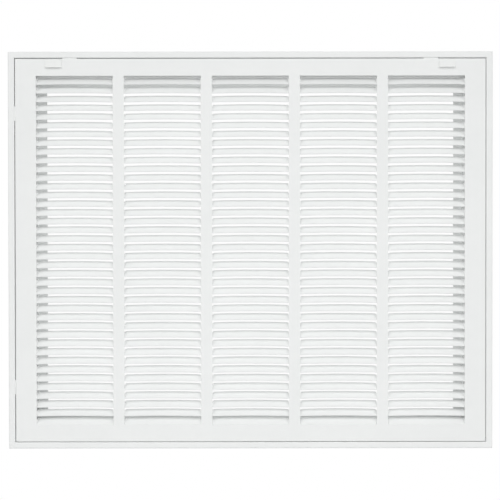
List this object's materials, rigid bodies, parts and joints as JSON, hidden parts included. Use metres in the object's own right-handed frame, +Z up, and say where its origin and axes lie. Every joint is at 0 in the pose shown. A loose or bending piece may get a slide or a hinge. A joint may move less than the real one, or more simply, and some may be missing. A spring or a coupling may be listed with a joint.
{
  "type": "return air filter grille",
  "caption": "White painted steel return air filter grille: mitred wall frame with a louvred door that swings down on pins and is held by two sliding latches.",
  "frame": {"origin": "centre of the wall opening, on the wall's face", "axes": "+X right as seen from the room, +Y into the wall, +Z up; the louvred face looks along -Y"},
  "size_m": [0.7048, 0.045, 0.5778],
  "materials": {
    "frame_paint": "white powder coat, low gloss",
    "door_paint": "white powder coat, low gloss",
    "pad_paint": "white powder coat, low gloss",
    "zinc_plate": "bright zinc plate on steel"
  },
  "bodies": {
    "frame": {"frame_rail_top": "frame_paint", "frame_rail_bottom": "frame_paint", "frame_rail_left": "frame_paint", "frame_rail_right": "frame_paint", "corner_angle_top_left": "frame_paint", "corner_angle_top_right": "frame_paint", "corner_angle_bottom_left": "frame_paint", "corner_angle_bottom_right": "frame_paint", "door_pin_left": "zinc_plate", "door_pin_right": "zinc_plate"},
    "door": {"door_face": "door_paint"},
    "latch_left": {"latch_pad_left": "pad_paint", "latch_bolt_left": "zinc_plate", "latch_rivet_left": "zinc_plate"},
    "latch_right": {"latch_pad_right": "pad_paint", "latch_bolt_right": "zinc_plate", "latch_rivet_right": "zinc_plate"}
  },
  "joints": [
    {"name": "door_hinge", "type": "hinge", "parent": "frame", "child": "door", "pos_m": [0, -0.0066, -0.27408], "axis": [1, 0, 0], "range_deg": [0, 120]},
    {"name": "latch_left_slide", "type": "slide", "parent": "door", "child": "latch_left", "axis": [1, 0, 0], "range_m": [0, 0.008]},
    {"name": "latch_right_slide", "type": "slide", "parent": "door", "child": "latch_right", "axis": [-1, 0, 0], "range_m": [0, 0.008]}
  ]
}
